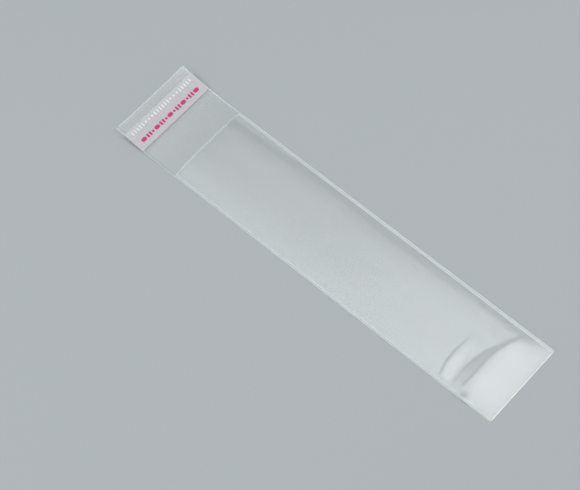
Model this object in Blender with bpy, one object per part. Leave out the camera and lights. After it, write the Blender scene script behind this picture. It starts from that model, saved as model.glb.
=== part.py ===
"""Self-seal cellophane bag: one web of clear film folded into a pocket, with a flap to seal it.

The bag lies flat and empty on its back panel. X runs across it, Y along it from the bottom
fold to the end of the flap, and Z up. The origin is on the table under the bag's middle.
The pocket and its flap are a single piece of film. The flap carries the adhesive strip and
the release liner that covers it until the bag is sealed.
"""

import math

import bmesh
import bpy

# Driving dimensions of the film, in metres
BAG_WIDTH = 0.050
POCKET_LENGTH = 0.205
FLAP_LENGTH = 0.040
FILM = 0.00005

# Side welds: the hot knife cuts both panels, fuses a narrow band and leaves a round bead
WELD_WIDTH = 0.0016
POCKET_BEAD_RADIUS = 0.00024
FLAP_BEAD_RADIUS = 0.00012
BEAD_TURN = math.radians(225)
BEAD_SEGMENTS = 5

# Room inside the pocket, between its two panels
FOLD_GAP = 0.00010
FOLD_REACH = 0.026
FOLD_SEGMENTS = 4
AIR_GAP = 0.00120
AIR_RIPPLE = 0.00035
RIPPLE_LENGTH = 0.078
MOUTH_GAP = 0.00240
MOUTH_REACH = 0.045

# The flap springs up towards its end, most of all at its two corners
FLAP_RISE = 0.0028
CORNER_CURL = 0.0009
CURL_ALONG_POWER = 3
CURL_ACROSS_POWER = 4

# Seal tape across the flap
END_STRIP = 0.0055
LINER_WIDTH = 0.0130
LINER = 0.00005
LINER_INSET = 0.0002
ADHESIVE_WIDTH = 0.0090
ADHESIVE = 0.00003
ADHESIVE_INSET = 0.0004
LAYER_GAP = 0.0003

# Mesh spacing
POCKET_ROWS = 40
PANEL_COLUMNS = 12
FLAP_CELL = 0.0048
MOUTH_STEP = 0.0004
SAME_POINT = 1e-7
CREASE_ANGLE = math.radians(50)

BAG_LENGTH = POCKET_LENGTH + FLAP_LENGTH
HALF_WIDTH = BAG_WIDTH / 2
WELD_LINE = HALF_WIDTH - WELD_WIDTH
FOLD_CENTRE = FILM + FOLD_GAP / 2


# Form of the empty bag


def ease(value):
    """Goes smoothly from 0 to 1 as value does."""
    value = min(max(value, 0.0), 1.0)
    return (1 - math.cos(math.pi * value)) / 2


def pocket_gap(x, along):
    """Room between the panels: none at the welds, a crease at the fold, most at the mouth."""
    across = max(1 - (x / WELD_LINE) ** 2, 0.0)
    past_fold = ease((along - FOLD_CENTRE) / FOLD_REACH)
    near_mouth = ease((along - POCKET_LENGTH + MOUTH_REACH) / MOUTH_REACH)
    body = AIR_GAP + AIR_RIPPLE * math.sin(2 * math.pi * along / RIPPLE_LENGTH)
    middle = FOLD_GAP + (body - FOLD_GAP) * past_fold
    middle += (MOUTH_GAP - body) * near_mouth
    return middle * across


def flap_lift(x, along):
    """Height of the back panel's underside: on the table, then rising along the flap."""
    share = max(along - POCKET_LENGTH, 0.0) / FLAP_LENGTH
    curl = share**CURL_ALONG_POWER * (abs(x) / HALF_WIDTH) ** CURL_ACROSS_POWER
    return FLAP_RISE * share**2 + CORNER_CURL * curl


# Places along and across the bag where the mesh has its rows and columns


def evenly(start, end, cells):
    """The ends of equal cells from start to end."""
    return [start + (end - start) * i / cells for i in range(cells + 1)]


def flap_stations():
    """Rows of the flap, with one on each edge of the liner and of the adhesive."""
    liner_end = BAG_LENGTH - END_STRIP
    liner_start = liner_end - LINER_WIDTH
    dry_border = (LINER_WIDTH - ADHESIVE_WIDTH) / 2
    edges = [
        POCKET_LENGTH + MOUTH_STEP,
        liner_start,
        liner_start + dry_border,
        liner_end - dry_border,
        liner_end,
        BAG_LENGTH,
    ]
    rows = [edges[0]]
    for start, end in zip(edges, edges[1:]):
        cells = math.ceil((end - start) / FLAP_CELL)
        rows += evenly(start, end, cells)[1:]
    return rows


PANEL_X = evenly(-WELD_LINE, WELD_LINE, PANEL_COLUMNS)
POCKET_ALONG = evenly(FOLD_CENTRE, POCKET_LENGTH, POCKET_ROWS)
FLAP_ALONG = flap_stations()
FOLD_TURNS = evenly(0.0, math.pi, FOLD_SEGMENTS)[1:-1]

# The web from the flap's end to the mouth, as the stretch and the place in it of each row
WEB = [("flap", along) for along in reversed(FLAP_ALONG)]
WEB += [("back", along) for along in reversed(POCKET_ALONG)]
WEB += [("fold", turn) for turn in FOLD_TURNS]
WEB += [("front", along) for along in POCKET_ALONG]
FLAP_END, MOUTH = WEB[0], WEB[-1]


# Mesh helpers


def on_bag(x, along, height):
    """A place from the distance across, the distance from the bottom fold and the height."""
    return (x, along - BAG_LENGTH / 2, height)


def add_sheet(bm, columns, stations, place):
    """A flat grid of cells, moved row by row to where place(x, station) puts it."""
    width = len(columns)
    grid = bmesh.ops.create_grid(bm, x_segments=width - 1, y_segments=len(stations) - 1, size=HALF_WIDTH)
    rows = {}
    for i, station in enumerate(stations):
        row = grid["verts"][i * width : (i + 1) * width]
        for vert, x in zip(row, columns):
            vert.co = on_bag(x, *place(x, station))
        rows[station] = row
    return rows


def fill_between(bm, first, second):
    """A strip of cells between two rows of equal length."""
    for i in range(len(first) - 1):
        bm.faces.new((first[i], first[i + 1], second[i + 1], second[i]))


def split_cells(bm):
    """Splits each cell along the same diagonal, so that layers of film stay parallel."""
    bmesh.ops.triangulate(bm, faces=bm.faces[:], quad_method="FIXED")


def make_object(name, bm, material):
    """A named object from a mesh, smooth apart from its creases."""
    mesh = bpy.data.meshes.new(name)
    bm.to_mesh(mesh)
    bm.free()
    mesh.shade_smooth()
    mesh.set_sharp_from_angle(angle=CREASE_ANGLE)
    mesh.materials.append(material)
    piece = bpy.data.objects.new(name, mesh)
    bpy.context.collection.objects.link(piece)
    return piece


def make_material(name, colour, roughness, alpha):
    """Principled finish of one sub-part."""
    material = bpy.data.materials.new(name)
    material.use_nodes = True
    shader = material.node_tree.nodes["Principled BSDF"]
    shader.inputs["Base Color"].default_value = (*colour, 1.0)
    shader.inputs["Roughness"].default_value = roughness
    shader.inputs["Metallic"].default_value = 0.0
    shader.inputs["Alpha"].default_value = alpha
    return material


# The film: pocket, bottom fold, side welds, mouth lip and flap in one solid


def folded(x, station, depth):
    """Where a point of the web lies once it is folded, at a depth into the film.

    Depth 0 is the outer skin of the bag. Depth FILM is the skin that lines the pocket and
    runs on as the upper side of the flap.
    """
    stretch, place = station
    if stretch == "flap":
        return place, flap_lift(x, place) + depth
    if stretch == "back":
        return place, depth
    if stretch == "front":
        return place, 2 * FILM + pocket_gap(x, place) - depth
    half_gap = pocket_gap(x, FOLD_CENTRE) / 2
    radius = half_gap + FILM - depth
    along = FOLD_CENTRE - radius * math.sin(place)
    return along, FILM + half_gap - radius * math.cos(place)


def edge_ring(bm, side, along, radius, band, low, high):
    """Section of one melted edge, from the vertex below, round the bead, to the one above."""
    centre = HALF_WIDTH - radius
    ring = [low]
    for turn in evenly(-math.pi / 2, BEAD_TURN - math.pi / 2, BEAD_SEGMENTS):
        x = side * (centre + radius * math.cos(turn))
        height = flap_lift(x, along) + radius * (1 + math.sin(turn))
        ring.append(bm.verts.new(on_bag(x, along, height)))
    x = side * (centre - 2 * radius)
    ring.append(bm.verts.new(on_bag(x, along, flap_lift(x, along) + band)))
    ring.append(high)
    return ring


def add_melted_edge(bm, outer, inner, side):
    """Welds the two panels along one side of the pocket, and runs the bead on along the flap."""
    end = 0 if side < 0 else -1
    rings = []
    for along in POCKET_ALONG:
        low, high = outer["back", along][end], outer["front", along][end]
        rings.append(edge_ring(bm, side, along, POCKET_BEAD_RADIUS, 2 * FILM, low, high))
    for along in FLAP_ALONG:
        low, high = outer["flap", along][end], inner["flap", along][end]
        rings.append(edge_ring(bm, side, along, FLAP_BEAD_RADIUS, FILM, low, high))
    for first, second in zip(rings, rings[1:]):
        fill_between(bm, first, second)

    # Step down from the two welded panels to the single film of the flap
    lip = [skin[MOUTH][end] for skin in (outer, inner)]
    bm.faces.new(lip + [inner["flap", FLAP_ALONG[0]][end]])

    # Ends of the edge, at the bottom fold and at the end of the flap
    fold_end = [outer["fold", turn][end] for turn in reversed(FOLD_TURNS)]
    bm.faces.new(rings[0] + fold_end)
    bm.faces.new(rings[-1])


def film_bag(material):
    """The whole web as one closed solid, with its pocket open at the mouth."""
    bm = bmesh.new()
    outer = add_sheet(bm, PANEL_X, WEB, lambda x, station: folded(x, station, 0.0))
    inner = add_sheet(bm, PANEL_X, WEB, lambda x, station: folded(x, station, FILM))
    for cut in (FLAP_END, MOUTH):
        fill_between(bm, outer[cut], inner[cut])

    # The skins that line the pocket meet along both weld lines
    weld_verts = [row[end] for row in inner.values() for end in (0, -1)]
    doubles = bmesh.ops.find_doubles(bm, verts=weld_verts, dist=SAME_POINT)["targetmap"]
    for row in inner.values():
        row[0] = doubles.get(row[0], row[0])
        row[-1] = doubles.get(row[-1], row[-1])
    bmesh.ops.weld_verts(bm, targetmap=doubles)

    for side in (-1, 1):
        add_melted_edge(bm, outer, inner, side)
    split_cells(bm)
    bmesh.ops.recalc_face_normals(bm, faces=bm.faces[:])
    return make_object("film_bag", bm, material)


# Seal tape


def flap_layer(name, width, inset, clearance, thickness, material):
    """A thin strip that follows the flap, centred on the tape's middle line."""
    middle = BAG_LENGTH - END_STRIP - LINER_WIDTH / 2
    reach = width / 2 + MOUTH_STEP / 2
    stations = [along for along in FLAP_ALONG if abs(along - middle) < reach]
    edge = HALF_WIDTH - inset
    columns = [-edge] + PANEL_X + [edge]
    height = FILM + clearance
    bm = bmesh.new()
    add_sheet(bm, columns, stations, lambda x, along: (along, flap_lift(x, along) + height))
    split_cells(bm)
    strip = make_object(name, bm, material)
    body = strip.modifiers.new("strip thickness", "SOLIDIFY")
    body.thickness = thickness
    body.offset = 1.0
    return strip


def adhesive_strip(material):
    """Clear pressure-sensitive adhesive, narrower than the liner over it."""
    return flap_layer("adhesive_strip", ADHESIVE_WIDTH, ADHESIVE_INSET, LAYER_GAP, ADHESIVE, material)


def release_liner(material):
    """Milky peel-off tape, with a dry border past the adhesive along both sides."""
    clearance = 2 * LAYER_GAP + ADHESIVE
    return flap_layer("release_liner", LINER_WIDTH, LINER_INSET, clearance, LINER, material)


def build_bag():
    """Makes the three pieces, with the tape carried by the film."""
    for old in list(bpy.data.objects):
        bpy.data.objects.remove(old)
    clear_film = make_material("clear polypropylene film", (0.62, 0.67, 0.68), 0.12, 0.35)
    clear_glue = make_material("clear acrylic adhesive", (0.66, 0.65, 0.60), 0.45, 0.5)
    milky_film = make_material("milky liner film", (0.58, 0.53, 0.56), 0.35, 0.8)
    bag = film_bag(clear_film)
    adhesive_strip(clear_glue).parent = bag
    release_liner(milky_film).parent = bag


build_bag()
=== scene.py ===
# %% [markdown]
# # A self-seal cellophane bag
#
# The bag is one web of clear film, folded once, welded along both sides and left open below a
# flap. A strip of adhesive and a milky peel-off liner lie across the flap. This notebook dresses
# the measured model of that bag: a finer film with its waves and creases, the tape, the ink
# marks, the materials, and then the table, the light and the camera.
#
# The first cell loads the measured model. Its box is kept, because the finished bag must stay
# inside it.

# %% Load the measured model
import math

import bmesh
import bpy
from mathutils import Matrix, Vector, noise


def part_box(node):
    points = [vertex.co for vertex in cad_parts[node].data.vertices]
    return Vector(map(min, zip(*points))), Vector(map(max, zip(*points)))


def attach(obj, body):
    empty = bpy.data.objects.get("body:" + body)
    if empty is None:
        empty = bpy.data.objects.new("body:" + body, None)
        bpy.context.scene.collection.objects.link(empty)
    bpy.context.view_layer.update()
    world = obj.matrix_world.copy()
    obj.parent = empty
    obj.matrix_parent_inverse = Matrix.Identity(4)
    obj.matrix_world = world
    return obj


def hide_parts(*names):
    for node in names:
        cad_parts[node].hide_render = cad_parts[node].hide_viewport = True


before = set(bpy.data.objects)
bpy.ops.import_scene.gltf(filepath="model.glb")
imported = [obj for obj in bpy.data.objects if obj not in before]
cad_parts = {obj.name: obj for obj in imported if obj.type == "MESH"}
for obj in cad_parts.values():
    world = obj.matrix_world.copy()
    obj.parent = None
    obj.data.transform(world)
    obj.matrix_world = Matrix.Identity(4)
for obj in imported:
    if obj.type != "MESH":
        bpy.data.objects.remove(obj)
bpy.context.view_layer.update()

MM = 0.001

# %% [markdown]
# ## The camera
#
# The photograph looks down on the bag from about 62 degrees, with a long lens, so the two long
# edges stay almost parallel. The place the lens points at and the distance come from matching
# the bag's corners, its mouth and its tape in the picture.
#
# A camera could be placed by a location and a rotation. An aim, two angles and a distance say
# the same, and they are easier to read and to change. The camera comes first, so that all that
# follows can be judged in the right view.

# %% Camera
LENS_MM = 135
CAMERA_ELEVATION = math.radians(62.3)
CAMERA_HEADING = math.radians(48.8)
CAMERA_DISTANCE = 1.083
CLIP_START = 0.01
AIM = Vector((-0.0159, 0.0126, 0.0))

ahead = Vector((math.sin(CAMERA_HEADING), math.cos(CAMERA_HEADING), 0.0))
to_camera = Vector((0, 0, math.sin(CAMERA_ELEVATION))) - ahead * math.cos(CAMERA_ELEVATION)

camera_data = bpy.data.cameras.new("camera")
camera_data.lens = LENS_MM
camera_data.clip_start = CLIP_START
camera = bpy.data.objects.new("camera", camera_data)
camera.location = AIM + to_camera * CAMERA_DISTANCE
camera.rotation_euler = to_camera.to_track_quat("Z", "Y").to_euler()
bpy.context.collection.objects.link(camera)
bpy.context.scene.camera = camera
print("camera at, mm:", [round(c / MM) for c in camera.location])

# %% [markdown]
# ## Sizes of the film
#
# The outline and the tape come from the measured model. The flap's length, the film and the
# welds are the maker's own numbers, so they are written here once. From here on, a place on the
# bag is given by x, the distance across from the middle, and along, the distance from the fold.

# %% Sizes
film_low, film_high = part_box("film_bag")
liner_low, liner_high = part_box("release_liner")
glue_low, glue_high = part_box("adhesive_strip")

HALF_WIDTH = (film_high.x - film_low.x) / 2
BAG_LENGTH = film_high.y - film_low.y
FLAP_LENGTH = 40 * MM
POCKET_LENGTH = BAG_LENGTH - FLAP_LENGTH
FILM = 0.05 * MM
WELD_WIDTH = 1.6 * MM
WELD_LINE = HALF_WIDTH - WELD_WIDTH
POCKET_BEAD = 0.24 * MM
FLAP_BEAD = 0.12 * MM
print("bag", round(2 * HALF_WIDTH / MM, 1), "x", round(BAG_LENGTH / MM, 1), "mm")
print("pocket", round(POCKET_LENGTH / MM, 1), "mm, flap", round(FLAP_LENGTH / MM, 1), "mm")

# %% [markdown]
# ## How an empty bag lies
#
# The back panel lies on the table. The front panel is held down at both welds and at the fold,
# and a little air keeps it off the back panel in between. It never lies quite flat: it has long
# soft waves, and small puckers along the welds where the hot knife shrank the film.
#
# A cloth simulation could find such a shape, but would not put each crease where the real bag
# has it. So the height is a sum of a few plain terms, each of which can be read and changed.
# Their helpers come first: a smooth step, a straight step with rounded corners, a soft bump,
# slow random change, and a smooth line through given points.

# %% Helpers for shapes
ROUNDED = 0.25


def ease(value):
    """Goes smoothly from 0 to 1 as value does."""
    value = min(max(value, 0.0), 1.0)
    return (1 - math.cos(math.pi * value)) / 2


def ramp(value, start=ROUNDED, end=ROUNDED):
    """Goes from 0 to 1 at one slope, with a rounded corner at its start and at its end."""
    value = min(max(value, 0.0), 1.0)
    slope = 1 / (1 - (start + end) / 2)
    if value < start:
        return slope * value**2 / (2 * start)
    if value > 1 - end:
        return 1 - slope * (1 - value) ** 2 / (2 * end)
    return slope * (value - start / 2)


def bell(distance, width):
    """A soft bump, 1 at distance 0 and almost nothing at twice its width."""
    return math.exp(-((distance / width) ** 2))


def drift(x, along, size, seed):
    """Slow random change between -1 and 1 over patches of the given size."""
    return noise.noise(Vector((x / size, along / size, seed)))


def through(points, x):
    """Height at x of a smooth line through a list of points, and level past its last one."""
    for (x0, y0), (x1, y1) in zip(points, points[1:]):
        if x <= x1:
            break
    return y0 + (y1 - y0) * ease((x - x0) / (x1 - x0))


print("a quarter along a smooth step:", round(ease(0.25), 2))

# %% [markdown]
# ## Creases near the fold
#
# A bag that has been packed flat is pressed and bent near the fold, and the film keeps it. The
# pocket bulges a little between the fold and a first crease, about 21 mm up. Past that line the
# front panel runs down a slanted band to a second crease, and comes back up slowly after it. The
# band looks dark, because its slope mirrors the dim rim of the reflector. Further up, a low ridge
# climbs softly and falls off along a thin curved line, which turns down like a hook at its right
# end. Small wrinkles fan out over the band from the left weld.
#
# A crease could be a cut line in the mesh with a sharp angle, but film has no sharp angles. So
# each crease is a line of places across the bag, in millimetres from the fold, and a short
# steady slope along it. The band has a slope of its own, with a tight corner at the first
# crease and a softer one at the second.

# %% Creases
FIRST_LINE = [(-23.5, 21.0), (-12, 20.6), (0, 20.8), (6, 20.3), (12, 18.6), (18, 16.4), (23.5, 13.0)]
SECOND_LINE = [(-23.5, 27.5), (-12, 28.6), (-6, 28.2), (0, 27.0), (6, 25.0), (12, 22.6), (23.5, 17.0)]
RIDGE_LINE = [(-23.5, 32.6), (-21.3, 33.6), (-14, 35.4), (-6, 35.9), (0, 35.2), (23.5, 35.2)]
FIRST_SLOPE = [(-23.5, 0.14), (-18, 0.12), (-12, 0.10), (0, 0.06), (12, 0.10), (23.5, 0.10)]
BAND_SLOPE = [(-23.5, 0.14), (-18, 0.15), (-12, 0.12), (0, 0.13), (6, 0.13), (12, 0.10), (23.5, 0.05)]
SECOND_SLOPE = [(-23.5, 0.10), (-12, 0.07), (0, 0.08), (6, 0.02), (23.5, 0.0)]
RIDGE_SLOPE = [(-23.5, 0.40), (-20, 0.36), (-15, 0.24), (-8, 0.18), (-2, 0.12), (4, 0.05), (8, 0.0)]
LINES = (FIRST_LINE, SECOND_LINE, RIDGE_LINE)
SLOPES = (FIRST_SLOPE, BAND_SLOPE, SECOND_SLOPE, RIDGE_SLOPE)
CREASE_WIDTH, RIDGE_WIDTH, RIDGE_CLIMB = 2.2 * MM, 1.8 * MM, 6 * MM
HOOK_X, HOOK_ALONG, HOOK_LENGTH, HOOK_SLOPE = 3.0 * MM, 31 * MM, 4.5 * MM, 0.11
RECOVERY = 30 * MM
TIGHT, SOFT = 0.12, 0.3
CREASE_WANDER, WANDER_LENGTH = 0.5 * MM, 6 * MM
WRINKLE, WRINKLE_TURNS = 0.10 * MM, 2.4
WRINKLE_X, WRINKLE_ALONG = -25 * MM, 16 * MM
WRINKLE_PLACE, WRINKLE_REACH, WRINKLE_LOW = 10 * MM, 5 * MM, 3 * MM


def step_down(past, slope, width, start=ROUNDED, end=ROUNDED):
    """Height lost down one step, at a distance past its start. It comes back slowly after it."""
    back = math.exp(-max(past - width, 0.0) / RECOVERY)
    return slope * width * ramp(past / width, start, end) * back


def ridge(past, slope):
    """Height of a low ridge: a slow climb up to its line and a short steep fall past it."""
    return slope * RIDGE_WIDTH * (ramp(past / RIDGE_CLIMB + 1) - ramp(past / RIDGE_WIDTH))


def creases(x, along):
    """Change of the front panel's height from its creases and wrinkles."""
    across, up = x - WRINKLE_X, along - WRINKLE_ALONG
    fan = math.sin(2 * math.pi * WRINKLE_TURNS * math.atan2(up, across))
    fan *= bell(math.hypot(across, up) - WRINKLE_PLACE, WRINKLE_REACH)
    height = WRINKLE * fan * ease((up - WRINKLE_LOW) / WRINKLE_PLACE)
    wander = CREASE_WANDER * drift(x, 0, WANDER_LENGTH, seed=3)
    first, second, crest = [through(line, x / MM) * MM + wander for line in LINES]
    slopes = [through(line, x / MM) for line in SLOPES]
    height -= step_down(along - first, slopes[0], CREASE_WIDTH)
    height -= step_down(along - first, slopes[1], second - first, TIGHT, SOFT)
    height -= step_down(along - second + CREASE_WIDTH, slopes[2], CREASE_WIDTH)
    height += ridge(along - crest, slopes[3])
    return height + ridge(x - HOOK_X, HOOK_SLOPE) * bell(along - HOOK_ALONG, HOOK_LENGTH)


print("first crease in the middle:", round(through(FIRST_LINE, 0), 1), "mm from the fold")

# %% [markdown]
# ## Room in the pocket
#
# The gap between the panels is the film's own springiness at work. It is nothing at the welds
# and almost nothing at the fold, a little over a millimetre in the body, and most at the mouth.
# On it ride long waves, small waves and the creases. The shrink of the hot weld adds puckers,
# small waves in a row that die away within a few millimetres of it.

# %% Gap between the panels
FOLD_GAP, FOLD_REACH = 0.10 * MM, 21 * MM
FOLD_CENTRE = FILM + FOLD_GAP / 2
AIR_GAP = 1.20 * MM
AIR_RIPPLE, RIPPLE_LENGTH = 0.12 * MM, 78 * MM
BULGE, BULGE_ALONG, BULGE_LENGTH = 0.45 * MM, 20 * MM, 10 * MM
MOUTH_GAP, MOUTH_REACH = 2.10 * MM, 45 * MM
LEAST_GAP = 0.03 * MM
HELD_DOWN = 5.0
HELD_BY_FOLD = 8 * MM
WAVE, WAVE_WIDTH, WAVE_LENGTH = 0.16 * MM, 21 * MM, 34 * MM
SMALL_WAVE, SMALL_WIDTH, SMALL_LENGTH = 0.05 * MM, 7.3 * MM, 11 * MM
PUCKER, PUCKER_PITCH = 0.035 * MM, 3.1 * MM
PITCH_CHANGE, PITCH_LENGTH = 1.4, 24 * MM
PUCKER_REACH, PUCKER_START, PUCKER_FOLD = 2.2 * MM, 1.5 * MM, 3 * MM


def puckers(x, along):
    """Small shrink waves that die away from the welds, between -1 and 1."""
    inside = WELD_LINE - abs(x)
    uneven = PITCH_CHANGE * drift(x, along, PITCH_LENGTH, seed=math.copysign(5, x))
    fade = min(1.0, inside / PUCKER_START) * min(1.0, along / PUCKER_FOLD)
    row = math.sin(2 * math.pi * (along / PUCKER_PITCH + uneven))
    return row * math.exp(-inside / PUCKER_REACH) * fade


def waves(x, along):
    """Long and small waves of the front panel."""
    long_wave = drift(x * WAVE_LENGTH / WAVE_WIDTH, along, WAVE_LENGTH, seed=1)
    small_wave = drift(x * SMALL_LENGTH / SMALL_WIDTH, along, SMALL_LENGTH, seed=2)
    return WAVE * long_wave + SMALL_WAVE * small_wave


def pocket_gap(x, along):
    """Room between the two panels."""
    across = max(1 - (abs(x) / WELD_LINE) ** HELD_DOWN, 0.0)
    past_fold = ramp((along - FOLD_CENTRE) / FOLD_REACH)
    near_mouth = ease((along - POCKET_LENGTH + MOUTH_REACH) / MOUTH_REACH)
    bulge = BULGE * bell(along - BULGE_ALONG, BULGE_LENGTH)
    body = AIR_GAP + bulge + AIR_RIPPLE * math.sin(2 * math.pi * along / RIPPLE_LENGTH)
    middle = FOLD_GAP + (body - FOLD_GAP) * past_fold + (MOUTH_GAP - body) * near_mouth
    held = min(1.0, along / HELD_BY_FOLD) * across
    gap = middle * across + (waves(x, along) + creases(x, along)) * held
    return max(gap + PUCKER * puckers(x, along), LEAST_GAP * across)


for along in (10, 22, 26, 60, 120, 180, 203):
    print("gap in the middle at", along, "mm:", round(pocket_gap(0.0, along * MM) / MM, 2), "mm")

# %% [markdown]
# ## Back panel and flap
#
# The back panel rests on the table and is flat within a few hundredths of a millimetre. At one
# place, on the left weld beside the crease, both panels have buckled up together, and the small
# bump breaks the even sheen there. Past the mouth the single film of the flap springs up in a
# gentle curve, and its two corners curl a little more.

# %% Height of the back panel
BACK_WAVE, BACK_WAVE_LENGTH = 0.025 * MM, 26 * MM
BUCKLE, BUCKLE_X, BUCKLE_ALONG = 0.75 * MM, -23.6 * MM, 16.8 * MM
BUCKLE_WIDTH, BUCKLE_LENGTH = 2.6 * MM, 2.8 * MM
FLAP_RISE, CORNER_CURL = 2.6 * MM, 0.85 * MM
CURL_ALONG, CURL_ACROSS = 3, 4
FLAP_WAVE, FLAP_WAVE_LENGTH = 0.08 * MM, 15 * MM


def back_height(x, along):
    """The back panel's underside: on the table, apart from the buckle and the flap."""
    share = max(along - POCKET_LENGTH, 0.0) / FLAP_LENGTH
    inside = 1 - (x / HALF_WIDTH) ** 2
    rest = BACK_WAVE * (1 + drift(x, along, BACK_WAVE_LENGTH, seed=9)) * inside
    rest += BUCKLE * bell(x - BUCKLE_X, BUCKLE_WIDTH) * bell(along - BUCKLE_ALONG, BUCKLE_LENGTH)
    wave = FLAP_WAVE * (1 + drift(x, along, FLAP_WAVE_LENGTH, seed=7)) * share
    curl = CORNER_CURL * share**CURL_ALONG * (abs(x) / HALF_WIDTH) ** CURL_ACROSS
    return FLAP_RISE * share**2 + curl + wave + rest


print("the flap's corner is", round(back_height(HALF_WIDTH, BAG_LENGTH) / MM, 2), "mm up")

# %% [markdown]
# ## The film, folded from one flat web
#
# The real web is a flat strip, so the mesh is one too. It is a flat grid, and each row is moved
# to where it lies once the web is folded: along the flap, down the back, round the fold and up
# the front to the mouth. Two such skins, 0.05 mm apart, make the wall of film.
#
# The alternative is a single sheet with a Solidify modifier, but it would leave the welds open.
# Here the lining skins meet at the weld line, and a bead closes the outer edge. The rows stand
# closer together near the fold, where the creases are.

# %% Rows and columns of the web
FINE_STEP = 0.35 * MM
FINE_REACH = 46 * MM
ROW_STEP = 0.75 * MM
RIM = 0.35 * MM
MOUTH_STEP = 0.3 * MM
COLUMNS = 48
CROWDING = 0.5
FOLD_ROWS = 6
SAME_PLACE = 0.0001 * MM


def evenly(start, end, cells):
    """The ends of equal cells from start to end."""
    return [start + (end - start) * i / cells for i in range(cells + 1)]


def closer_at_edges(share):
    """Spreads columns so that they stand closer together near the welds."""
    return (1 - CROWDING) * share + CROWDING * math.sin(math.pi / 2 * share)


def with_rim(start, end):
    """Places a row step apart, with one narrow last row for a cut rim."""
    return evenly(start, end - RIM, round((end - start) / ROW_STEP)) + [end]


PANEL_X = [WELD_LINE * closer_at_edges(t) for t in evenly(-1, 1, COLUMNS)]
POCKET_ALONG = evenly(FOLD_CENTRE, FINE_REACH, round(FINE_REACH / FINE_STEP))
POCKET_ALONG += with_rim(FINE_REACH, POCKET_LENGTH)[1:]
FLAP_ALONG = with_rim(POCKET_LENGTH + MOUTH_STEP, BAG_LENGTH)
FOLD_TURNS = evenly(0.0, math.pi, FOLD_ROWS)[1:-1]

WEB = [("flap", along) for along in reversed(FLAP_ALONG)]
WEB += [("back", along) for along in reversed(POCKET_ALONG)]
WEB += [("fold", turn) for turn in FOLD_TURNS]
WEB += [("front", along) for along in POCKET_ALONG]
FLAP_END, MOUTH = WEB[0], WEB[-1]
print(len(WEB), "rows of", len(PANEL_X), "points")

# %% Fold the two skins


def on_bag(x, along, height):
    """A place from the distance across, the distance from the bottom fold and the height."""
    return Vector((x, film_low.y + along, height))


def folded(x, station, depth):
    """Distance from the fold and height of a point of the web, at a depth into the film."""
    stretch, place = station
    if stretch == "front":
        return place, back_height(x, place) + 2 * FILM + pocket_gap(x, place) - depth
    if stretch == "fold":
        half_gap = pocket_gap(x, FOLD_CENTRE) / 2
        radius = half_gap + FILM - depth
        middle = back_height(x, FOLD_CENTRE) + FILM + half_gap
        return FOLD_CENTRE - radius * math.sin(place), middle - radius * math.cos(place)
    return place, back_height(x, place) + depth


def add_sheet(bm, columns, stations, place):
    """A flat grid of cells, moved row by row to where place(x, station) puts it."""
    width = len(columns)
    grid = bmesh.ops.create_grid(bm, x_segments=width - 1, y_segments=len(stations) - 1, size=HALF_WIDTH)
    rows = {}
    for i, station in enumerate(stations):
        row = grid["verts"][i * width : (i + 1) * width]
        for vert, x in zip(row, columns):
            vert.co = on_bag(x, *place(x, station))
        rows[station] = row
    return rows


film_mesh = bmesh.new()
outer = add_sheet(film_mesh, PANEL_X, WEB, lambda x, station: folded(x, station, 0.0))
inner = add_sheet(film_mesh, PANEL_X, WEB, lambda x, station: folded(x, station, FILM))
lining_edges = [row[end] for row in inner.values() for end in (0, -1)]
same = bmesh.ops.find_doubles(film_mesh, verts=lining_edges, dist=SAME_PLACE)["targetmap"]
for row in inner.values():
    row[0] = same.get(row[0], row[0])
    row[-1] = same.get(row[-1], row[-1])
bmesh.ops.weld_verts(film_mesh, targetmap=same)
print(len(same), "pairs of points welded along the two sides")

# %% [markdown]
# ## Cut rims and the fold line
#
# The knife leaves a cut edge at the mouth and at the end of the flap, and the fold is pressed
# sharp. Along these lines the film scatters light and looks pale. The real lines are about
# 0.1 mm wide. They are drawn 0.35 mm wide here, because finer ones would not show.
#
# The film therefore has three finishes: clear film, fused film for the bead and the raised line
# of a weld, and creased film for the weld's flat band and for the lines above. A row of cells
# gets its finish by its place in the web.

# %% Pale rims
CLEAR, FUSED, CREASED = 0, 1, 2


def finish_rows(stations, finish):
    """Gives the cells between neighbouring rows of both skins a finish."""
    for skin in (outer, inner):
        verts = {vert for station in stations for vert in skin[station]}
        for face in {face for vert in verts for face in vert.link_faces}:
            if verts.issuperset(face.verts):
                face.material_index = finish


def fill_between(bm, first, second, finishes):
    """A strip of cells between two rows of equal length, each in its finish."""
    for i, finish in enumerate(finishes):
        cell = bm.faces.new((first[i], first[i + 1], second[i + 1], second[i]))
        cell.material_index = finish


fold_line = [("fold", turn) for turn in FOLD_TURNS]
fold_line += [("front", along) for along in POCKET_ALONG[:2]]
for pale_rows in (WEB[:2], WEB[-2:], fold_line):
    finish_rows(pale_rows, CREASED)
for cut in (FLAP_END, MOUTH):
    fill_between(film_mesh, outer[cut], inner[cut], [CREASED] * (len(PANEL_X) - 1))
print(sum(face.material_index == CREASED for face in film_mesh.faces), "cells of creased film")

# %% [markdown]
# ## Welded edges
#
# A hot knife cuts and welds the two panels in one stroke. It leaves a round bead at the very
# edge, a flat hazy band beside it, and a fine raised line where the panels part. On the flap
# there is only one layer, so the bead is thinner and there is no raised line.
#
# Each section of the edge is a short chain of points, and the chains are joined along the bag.
# The bead and the raised line are real shapes here, because these two bright lines draw the
# long edges of the bag in the photograph.

# %% Melted edges
BEAD_STEPS = 5
BEAD_TURNS = evenly(-math.pi / 2, 3 * math.pi / 4, BEAD_STEPS)
BEAD_FOOT = 0.45 * MM
RAISED_LINE = 0.10 * MM
LINE_WIDTH = 0.40 * MM
POCKET_EDGE = [CLEAR] + [FUSED] * BEAD_STEPS + [CREASED, CREASED] + [FUSED, FUSED]
FLAP_EDGE = [CLEAR] + [FUSED] * BEAD_STEPS + [CREASED] + [CLEAR] * 3


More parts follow.
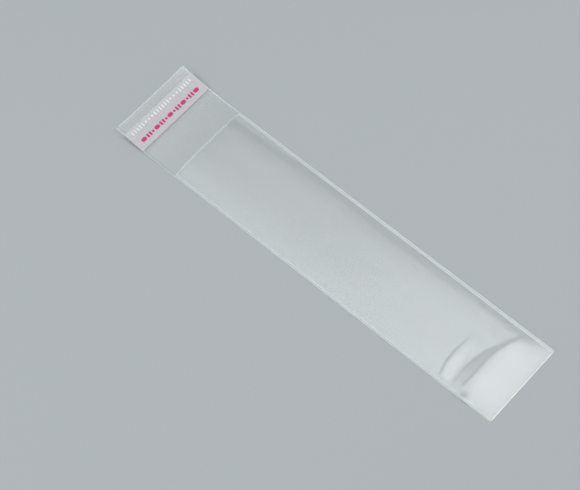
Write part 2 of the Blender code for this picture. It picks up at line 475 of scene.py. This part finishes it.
def edge_ring(side, along, radius, band, crest, low, high):
    """Section of one melted edge, from the point below, round the bead, to the one above."""
    centre = HALF_WIDTH - radius
    section = [(centre + radius * math.cos(turn), radius * (1 + math.sin(turn))) for turn in BEAD_TURNS]
    section += [(centre - BEAD_FOOT, band), (WELD_LINE + LINE_WIDTH, band)]
    section += [(WELD_LINE + LINE_WIDTH / 2, crest)]
    ring = [low]
    for x, height in section:
        height += back_height(side * x, along)
        ring.append(film_mesh.verts.new(on_bag(side * x, along, height)))
    ring.append(high)
    return ring


def add_melted_edge(side):
    """The bead and the welded band along one side, from the fold to the flap's end."""
    end = 0 if side < 0 else -1
    rings = []
    for along in POCKET_ALONG:
        low, high = outer["back", along][end], outer["front", along][end]
        crest = 2 * FILM + RAISED_LINE
        rings.append(edge_ring(side, along, POCKET_BEAD, 2 * FILM, crest, low, high))
    for along in FLAP_ALONG:
        low, high = outer["flap", along][end], inner["flap", along][end]
        rings.append(edge_ring(side, along, FLAP_BEAD, FILM, FILM, low, high))
    finishes = [POCKET_EDGE] * len(POCKET_ALONG) + [FLAP_EDGE] * (len(FLAP_ALONG) - 1)
    for first, second, edge in zip(rings, rings[1:], finishes):
        fill_between(film_mesh, first, second, edge)
    lip = [skin[MOUTH][end] for skin in (outer, inner)]
    film_mesh.faces.new(lip + [inner["flap", FLAP_ALONG[0]][end]])
    fold_end = [outer["fold", turn][end] for turn in reversed(FOLD_TURNS)]
    film_mesh.faces.new(rings[0] + fold_end)
    film_mesh.faces.new(rings[-1])


for side in (-1, 1):
    add_melted_edge(side)
bmesh.ops.recalc_face_normals(film_mesh, faces=film_mesh.faces[:])
print(len(film_mesh.faces), "faces in the film")

# %% [markdown]
# ## Colour and node helpers
#
# Colours are written as sRGB hex values, the way a picture shows them, and one function turns
# them into the linear values that the renderer works in. One more function adds a node with
# its settings, its values and its links, so a material reads as a list of steps.

# %% Helpers for materials


def srgb(code):
    """An sRGB hex colour as linear red, green and blue, with an alpha of 1."""
    channels = [int(code[i : i + 2], 16) / 255 for i in (1, 3, 5)]
    linear = [c / 12.92 if c <= 0.04045 else ((c + 0.055) / 1.055) ** 2.4 for c in channels]
    return (*linear, 1.0)


def new_finish(name):
    """An empty node material."""
    finish = bpy.data.materials.new(name)
    finish.use_nodes = True
    finish.node_tree.nodes.clear()
    return finish, finish.node_tree


def add_node(tree, kind, inputs=None, **settings):
    """Adds a node. Each input is a value, or an output of another node to link."""
    made = tree.nodes.new("ShaderNode" + kind)
    for name, value in settings.items():
        setattr(made, name, value)
    for key, value in (inputs or {}).items():
        if isinstance(value, bpy.types.NodeSocket):
            tree.links.new(value, made.inputs[key])
        else:
            made.inputs[key].default_value = value
    return made


def pattern(tree, sizes, detail=2.0):
    """Noise with the given sizes in metres across, along and up the bag."""
    place = add_node(tree, "TexCoord").outputs["Object"]
    scale = [1 / size for size in sizes]
    spread = add_node(tree, "Mapping", {"Vector": place, "Scale": scale}).outputs["Vector"]
    return add_node(tree, "TexNoise", {"Vector": spread, "Scale": 1.0, "Detail": detail}).outputs["Fac"]


def spread_of(tree, value, low, high):
    """A pattern's value moved to the range from low to high."""
    return add_node(tree, "MapRange", {"Value": value, "To Min": low, "To Max": high}).outputs["Result"]


print("white is", [round(c, 2) for c in srgb("#FFFFFF")])

# %% [markdown]
# ## Clear oriented polypropylene film
#
# The film called cellophane is today mostly oriented polypropylene: cast, then stretched both
# ways until it is 0.05 mm thin. It is clear, with a refractive index of 1.49, so each of its
# surfaces mirrors about 4 percent of the light, and much more at a flat angle. Stretching leaves
# faint streaks along the web and a slight haze.
#
# A glass shader would bend light through each thin wall at great cost and change almost
# nothing. So light goes straight through, a small share is scattered as haze, and a share that
# grows towards flat angles is mirrored. Most of the haze spreads the light only a little, which
# gives the satin sheen of the pocket, and the rest is a milky veil. Both have the faint cool
# green of such film. Fused and creased film scatters much more, which is why the edges of such a
# bag look white. The real streaks are finer than a tenth of a millimetre. They are drawn 1.8 mm
# apart, because finer ones would not show.

# %% Film finishes
FILM_IOR = 1.49
SURFACE_MIRROR = 0.045
FLAT_ANGLE_MIRROR = 0.9
STEEPNESS, EVEN_BLEND = 5.0, 0.5
STREAK = (1.8 * MM, 60 * MM, 10 * MM)
RIPPLE = (7 * MM, 18 * MM, 10 * MM)
RIPPLE_HEIGHT, RIPPLE_STRENGTH = 0.03 * MM, 0.5
SATIN_ROUGHNESS = 0.33
MILKY_ROUGHNESS = 0.6


def film_finish(name, haze, streaks, milkiness, roughness):
    """Film that lets light through, scatters the haze share and mirrors the rest."""
    finish, tree = new_finish(name)
    hazy_share = spread_of(tree, pattern(tree, STREAK), haze - streaks, haze + streaks)
    ripple = pattern(tree, RIPPLE)
    bump = {"Height": ripple, "Distance": RIPPLE_HEIGHT, "Strength": RIPPLE_STRENGTH}
    waved = add_node(tree, "Bump", bump).outputs["Normal"]
    facing = add_node(tree, "LayerWeight", {"Blend": EVEN_BLEND}).outputs["Facing"]
    steep = add_node(tree, "Math", {0: facing, 1: STEEPNESS}, operation="POWER").outputs[0]
    mirrored = spread_of(tree, steep, SURFACE_MIRROR, FLAT_ANGLE_MIRROR)

    clear = add_node(tree, "BsdfTransparent", {"Color": srgb("#FFFFFF")}).outputs[0]
    satin = {"Color": srgb("#FBFEFD"), "Roughness": SATIN_ROUGHNESS, "Normal": waved}
    spread = add_node(tree, "BsdfAnisotropic", satin).outputs[0]
    veil = {"Base Color": srgb("#F3F9F8"), "Roughness": MILKY_ROUGHNESS, "IOR": FILM_IOR}
    milky = add_node(tree, "BsdfPrincipled", veil).outputs[0]
    hazy = add_node(tree, "MixShader", {0: milkiness, 1: spread, 2: milky}).outputs[0]
    body = add_node(tree, "MixShader", {0: hazy_share, 1: clear, 2: hazy}).outputs[0]
    gloss = {"Color": srgb("#FFFFFF"), "Roughness": roughness, "Normal": waved}
    sheen = add_node(tree, "BsdfAnisotropic", gloss).outputs[0]
    whole = add_node(tree, "MixShader", {0: mirrored, 1: body, 2: sheen}).outputs[0]
    add_node(tree, "OutputMaterial", {"Surface": whole})
    return finish


CLEAR_LOOK = {"haze": 0.048, "streaks": 0.012, "milkiness": 0.3, "roughness": 0.05}
FUSED_LOOK = {"haze": 0.85, "streaks": 0.10, "milkiness": 0.9, "roughness": 0.10}
CREASED_LOOK = {"haze": 0.50, "streaks": 0.12, "milkiness": 0.8, "roughness": 0.20}
clear_film = film_finish("oriented polypropylene film", **CLEAR_LOOK)
fused_film = film_finish("hot-knife fused polypropylene", **FUSED_LOOK)
creased_film = film_finish("creased polypropylene edge", **CREASED_LOOK)
print("a surface of the film mirrors", 100 * SURFACE_MIRROR, "percent")

# %% [markdown]
# ## Pieces that ride on the bag
#
# Every finished piece is shaded smooth apart from its cut edges and follows the bag's one rigid
# body. The film piece stands in for the plain measured film.

# %% Film piece
CUT_ANGLE = math.radians(60)


def make_piece(name, bm, finishes):
    """A named object from a mesh, smooth apart from its cut edges, that rides on the bag."""
    mesh = bpy.data.meshes.new(name)
    bm.to_mesh(mesh)
    bm.free()
    mesh.shade_smooth()
    mesh.set_sharp_from_angle(angle=CUT_ANGLE)
    for finish in finishes:
        mesh.materials.append(finish)
    piece = bpy.data.objects.new(name, mesh)
    bpy.context.collection.objects.link(piece)
    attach(piece, "root")
    return piece


film = make_piece("folded_film_web", film_mesh, [clear_film, fused_film, creased_film])
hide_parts("film_bag")
print("film:", len(film.data.polygons), "faces,", len(film.data.materials), "finishes")

# %% [markdown]
# ## Adhesive and release liner
#
# The adhesive is coated straight onto the flap, 0.03 mm thick. The liner is a second film laid
# over it, with a dry border on both sides to pull it off by. Both follow the flap, so each is a
# grid that takes its height from the flap and is then given its thickness.

# %% Adhesive and liner
LAYER_GAP = 0.02 * MM
STRIP_STEP = 0.5 * MM
GLUE = 0.03 * MM
LINER = 0.05 * MM
LINER_RIPPLE, LINER_RIPPLE_LENGTH = 0.03 * MM, 6 * MM


def liner_lift(x, along):
    """How far the liner's underside is above the flap's underside."""
    ripple = LINER_RIPPLE * (1 + drift(x, along, LINER_RIPPLE_LENGTH, seed=11))
    return FILM + 2 * LAYER_GAP + GLUE + ripple


def laid_strip(low, high, lift, thickness):
    """A strip that follows the flap, between two corners of its measured box."""
    rows = evenly(low.y - film_low.y, high.y - film_low.y, round((high.y - low.y) / STRIP_STEP))
    columns = evenly(low.x, high.x, round((high.x - low.x) / STRIP_STEP))
    strip = bmesh.new()
    add_sheet(strip, columns, rows, lambda x, along: (along, back_height(x, along) + lift(x, along)))
    bmesh.ops.solidify(strip, geom=strip.faces[:], thickness=-thickness)
    bmesh.ops.recalc_face_normals(strip, faces=strip.faces[:])
    return strip


glue_mesh = laid_strip(glue_low, glue_high, lambda x, along: FILM + LAYER_GAP, GLUE)
liner_mesh = laid_strip(liner_low, liner_high, liner_lift, LINER)
print("liner", round((liner_high.y - liner_low.y) / MM, 1), "mm wide,", len(liner_mesh.faces), "faces")

# %% [markdown]
# ## Finish of the tape
#
# The liner is blown polyethylene film with a little white pigment and a silicone coating, which
# gives a milky satin look that lets the table through a little. The acrylic adhesive below it is
# coated as a clear layer. It wets the liner from below, so the liner looks a shade darker over
# it than along its two dry borders. Both are mixed from a clear share and a milky share, as the
# film is, and a fine cloudiness keeps the milky share from being even.

# %% Tape finishes
CLOUD = (2.5 * MM, 1.2 * MM, 1.0 * MM)
LINER_IOR, GLUE_IOR = 1.51, 1.47


def tape_finish(name, colour, ior, cover, mottling, roughness):
    """Cloudy film or glue: part of the light goes through, the rest is scattered."""
    finish, tree = new_finish(name)
    share = spread_of(tree, pattern(tree, CLOUD, detail=4.0), cover - mottling, cover + mottling)
    clear = add_node(tree, "BsdfTransparent", {"Color": srgb("#F6F5F7")}).outputs[0]
    body = {"Base Color": srgb(colour), "Roughness": roughness, "IOR": ior}
    milky = add_node(tree, "BsdfPrincipled", body).outputs[0]
    whole = add_node(tree, "MixShader", {0: share, 1: clear, 2: milky}).outputs[0]
    add_node(tree, "OutputMaterial", {"Surface": whole})
    return finish


GLUE_LOOK = {"ior": GLUE_IOR, "cover": 0.10, "mottling": 0.04, "roughness": 0.4}
LINER_LOOK = {"ior": LINER_IOR, "cover": 0.62, "mottling": 0.06, "roughness": 0.35}
glue_finish = tape_finish("coated acrylic adhesive", "#DADBD6", **GLUE_LOOK)
liner_finish = tape_finish("blown milky polyethylene liner", "#F4F2F5", **LINER_LOOK)

glue = make_piece("adhesive_layer", glue_mesh, [glue_finish])
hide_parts("adhesive_strip")
liner = make_piece("peel_off_liner", liner_mesh, [liner_finish])
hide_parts("release_liner")
print("adhesive:", len(glue.data.polygons), "faces, liner:", len(liner.data.polygons), "faces")

# %% [markdown]
# ## Ink on the liner
#
# Two rows of marks are printed on the liner, one magenta and one white. Here they are plain
# rounded bars and dots, with no meaning. They could be painted in the liner's material, but
# each is a thin patch of ink that follows the liner instead, so it stays sharp from close by.
#
# Flexographic ink dries to a thin matt layer. It is a little worn and paler in specks, and these
# are drawn 0.35 mm wide, which is coarser than the real ones, so that they show.

# %% Ink marks
INK = 0.01 * MM
MAGENTA_ROW, MAGENTA_GAP = 230.7 * MM, 0.65 * MM
WHITE_ROW, WHITE_GAP = 236.9 * MM, 0.9 * MM
CORNER_STEPS = 3
SPECK = (0.35 * MM, 0.35 * MM, 0.35 * MM)
INK_IOR, INK_ROUGHNESS = 1.50, 0.45


def add_mark(bm, middle_x, middle_along, width, height):
    """A flat bar with round ends, or a dot, that lies on the liner."""
    radius = min(width, height) / 2
    outline = []
    for quarter, (sx, sy) in enumerate(((1, 1), (-1, 1), (-1, -1), (1, -1))):
        for turn in evenly(quarter * math.pi / 2, (quarter + 1) * math.pi / 2, CORNER_STEPS):
            x = middle_x + sx * (width / 2 - radius) + radius * math.cos(turn)
            along = middle_along + sy * (height / 2 - radius) + radius * math.sin(turn)
            height_here = back_height(x, along) + liner_lift(x, along) + LINER + LAYER_GAP
            outline.append(bm.verts.new(on_bag(x, along, height_here)))
    bmesh.ops.remove_doubles(bm, verts=outline, dist=SAME_PLACE)
    face = bm.faces.new([vert for vert in outline if vert.is_valid])
    top = bmesh.ops.extrude_face_region(bm, geom=[face])["geom"]
    bmesh.ops.translate(bm, verts=[v for v in top if isinstance(v, bmesh.types.BMVert)], vec=(0, 0, INK))


def row_of_marks(marks, gap, along):
    """Marks one after another across the liner, centred on the bag."""
    bm = bmesh.new()
    x = -(sum(width for width, height in marks) + gap * (len(marks) - 1)) / 2
    for width, height in marks:
        add_mark(bm, x + width / 2, along, width, height)
        x += width + gap
    bmesh.ops.recalc_face_normals(bm, faces=bm.faces[:])
    return bm


def ink_finish(name, colour, worn):
    """Flexographic ink: a matt colour that is a little thin in places."""
    finish, tree = new_finish(name)
    speck = pattern(tree, SPECK, detail=3.0)
    shades = {"Factor": speck, "A": srgb(colour), "B": srgb(worn)}
    shade = add_node(tree, "Mix", shades, data_type="RGBA").outputs["Result"]
    dried = {"Base Color": shade, "Roughness": INK_ROUGHNESS, "IOR": INK_IOR}
    ink = add_node(tree, "BsdfPrincipled", dried).outputs[0]
    add_node(tree, "OutputMaterial", {"Surface": ink})
    return finish


DASH, BAR, STUB = (3.4 * MM, 2.2 * MM), (1.2 * MM, 2.6 * MM), (1.4 * MM, 1.5 * MM)
group = [DASH, BAR, BAR, STUB]
magenta_row = group * 2 + [DASH] + group[::-1] * 2
magenta_mesh = row_of_marks(magenta_row, MAGENTA_GAP, MAGENTA_ROW)
TALL, SPOT = (1.0 * MM, 2.3 * MM), (1.5 * MM, 1.5 * MM)
white_row = [TALL] * 5 + [SPOT] * 3 + [TALL] * 6 + [SPOT] * 3 + [TALL] * 5
white_mesh = row_of_marks(white_row, WHITE_GAP, WHITE_ROW)

magenta_ink = ink_finish("magenta flexographic ink", "#DA1F7A", "#E0458F")
white_ink = ink_finish("white flexographic ink", "#FAFCFC", "#ECF0F0")
make_piece("magenta_marks", magenta_mesh, [magenta_ink])
make_piece("white_marks", white_mesh, [white_ink])
print(len(magenta_row), "magenta marks and", len(white_row), "white ones")

# %% [markdown]
# ## Table
#
# The bag lies on a plain pale table. The table is matt melamine laminate, whose pressed surface
# has a fine grain and no clear mirror image, so it keeps the bag's soft shadow. A mid-pale grey
# also shows the film by what it adds: its haze, its sheen and its bright edges.

# %% Table
TABLE_SIZE = 6.0
TABLE_GAP = 0.02 * MM
GRAIN = 0.9 * MM
LAMINATE_ROUGHNESS, LAMINATE_IOR = 0.75, 1.55


def stage_object(name, bm, finish, place):
    """A part of the set, which is not part of the bag."""
    mesh = bpy.data.meshes.new(name)
    bm.to_mesh(mesh)
    bm.free()
    mesh.materials.append(finish)
    piece = bpy.data.objects.new(name, mesh)
    piece.location = place
    bpy.context.collection.objects.link(piece)
    return piece


laminate, tree = new_finish("matt melamine laminate")
grain = pattern(tree, (GRAIN, GRAIN, GRAIN), detail=5.0)
shades = {"Factor": grain, "A": srgb("#BBC0C3"), "B": srgb("#C3C8CB")}
shade = add_node(tree, "Mix", shades, data_type="RGBA").outputs["Result"]
pressed = {"Base Color": shade, "Roughness": LAMINATE_ROUGHNESS, "IOR": LAMINATE_IOR}
surface = add_node(tree, "BsdfPrincipled", pressed).outputs[0]
add_node(tree, "OutputMaterial", {"Surface": surface})

table_mesh = bmesh.new()
bmesh.ops.create_grid(table_mesh, x_segments=2, y_segments=2, size=TABLE_SIZE / 2)
stage_object("table", table_mesh, laminate, Vector((0, 0, film_low.z - TABLE_GAP)))
print("table", TABLE_SIZE, "m wide,", round(TABLE_GAP / MM, 2), "mm below the bag")

# %% [markdown]
# ## What the film mirrors
#
# Clear film is seen mostly by what it mirrors. A wide round reflector hangs level over the bag.
# It is bright in its middle and dims outwards. The film mirrors its bright part to the camera
# near the fold and its dim part at the flap, as the sheen runs in the photograph, and the steep
# sides of a crease mirror its dim rim.
#
# A single lamp would do the same for one camera only. The reflector is round and wide, so the
# bag has such a sheen from every side. It fades out at its rim, so that no outline of it is
# mirrored. Its white is a faint cool green, like the sheen in the photograph. Only mirrored rays
# see it, so it puts no light on the table.

# %% Round reflector
REFLECTOR_PLACE = Vector((-0.12, -0.15, 0.96))
REFLECTOR_REACH, REFLECTOR_SIDES = 1.6, 64
BRIGHT_REACH, DIM_REACH, FADE_REACH = 0.48, 1.15, 1.2
BRIGHT_LEVEL, DIM_LEVEL = 1.4, 0.20

cloth, tree = new_finish("lit reflector cloth")
place = add_node(tree, "TexCoord").outputs["Object"]
reach = add_node(tree, "VectorMath", {0: place}, operation="LENGTH").outputs["Value"]
dimming = {"Value": reach, "From Min": BRIGHT_REACH, "From Max": DIM_REACH}
dimming.update({"To Min": BRIGHT_LEVEL, "To Max": DIM_LEVEL})
level = add_node(tree, "MapRange", dimming, interpolation_type="SMOOTHSTEP").outputs["Result"]
fading = {"Value": reach, "From Min": FADE_REACH, "From Max": REFLECTOR_REACH}
gone = add_node(tree, "MapRange", fading, interpolation_type="SMOOTHSTEP").outputs["Result"]
lit = add_node(tree, "Emission", {"Color": srgb("#F7FCFB"), "Strength": level}).outputs[0]
nothing = add_node(tree, "BsdfTransparent").outputs[0]
whole = add_node(tree, "MixShader", {0: gone, 1: lit, 2: nothing}).outputs[0]
add_node(tree, "OutputMaterial", {"Surface": whole})
cloth.cycles.emission_sampling = "NONE"

reflector_mesh = bmesh.new()
bmesh.ops.create_circle(reflector_mesh, cap_ends=True, radius=REFLECTOR_REACH, segments=REFLECTOR_SIDES)
reflector = stage_object("round_reflector", reflector_mesh, cloth, REFLECTOR_PLACE)
for ray in ("camera", "diffuse", "transmission", "volume_scatter", "shadow"):
    setattr(reflector, "visible_" + ray, False)
print("reflector", 2 * REFLECTOR_REACH, "m across,", REFLECTOR_PLACE.z, "m up")

# %% [markdown]
# ## Lamps and air
#
# A softbox from the side gives the soft shadow and lights the beads. A second one hangs level
# above the reflector and lights the satin haze from nearly the mirror direction. The world fills
# in evenly from all around. Together they give a level at which white paper would render a
# little below white.
#
# Neither softbox is mirrored sharply: the side one is hidden from mirrored rays, where it would
# add to the wall behind it and turn the film hard white, and the reflector covers the top one.
# Mirrored rays see the world as a white wall. A ray passes several layers of film on its way, so
# the number of clear layers that it may pass is raised.

# %% Lamps and air
SIDE_PLACE, SIDE_AIM = Vector((-0.9, 0.5, 0.9)), Vector((0, 0, 0))
SIDE_SIZE, SIDE_LEVEL = 0.8, 3.0
TOP_PLACE, TOP_AIM = Vector((0.39, -0.22, 1.0)), Vector((0.39, -0.22, 0))
TOP_SIZE, TOP_LEVEL = 0.5, 3.3
AIR_LEVEL, WALL_LEVEL = 0.52, 1.0
LAYERS_OF_FILM = 24


def softbox(name, place, aim, size, level):
    """A square area light; level is its brightness, where 1 is white."""
    light = bpy.data.lights.new(name, "AREA")
    light.shape = "SQUARE"
    light.size = size
    light.energy = level * math.pi * size**2
    lamp = bpy.data.objects.new(name, light)
    lamp.location = place
    lamp.rotation_euler = (place - aim).to_track_quat("Z", "Y").to_euler()
    lamp.visible_camera = False
    bpy.context.collection.objects.link(lamp)
    return lamp


side_lamp = softbox("side softbox", SIDE_PLACE, SIDE_AIM, SIDE_SIZE, SIDE_LEVEL)
side_lamp.visible_glossy = False
top_lamp = softbox("top softbox", TOP_PLACE, TOP_AIM, TOP_SIZE, TOP_LEVEL)
world = bpy.data.worlds.new("studio air")
bpy.context.scene.world = world
world.use_nodes = True
world.node_tree.nodes.clear()
mirrored_ray = add_node(world.node_tree, "LightPath").outputs["Is Glossy Ray"]
strength = spread_of(world.node_tree, mirrored_ray, AIR_LEVEL, WALL_LEVEL)
glow = {"Color": srgb("#EAEEF0"), "Strength": strength}
air = add_node(world.node_tree, "Background", glow).outputs[0]
add_node(world.node_tree, "OutputWorld", {"Surface": air})
bpy.context.scene.view_settings.view_transform = "Standard"
bpy.context.scene.cycles.transparent_max_bounces = LAYERS_OF_FILM
print("lamps:", side_lamp.name, "and", top_lamp.name)
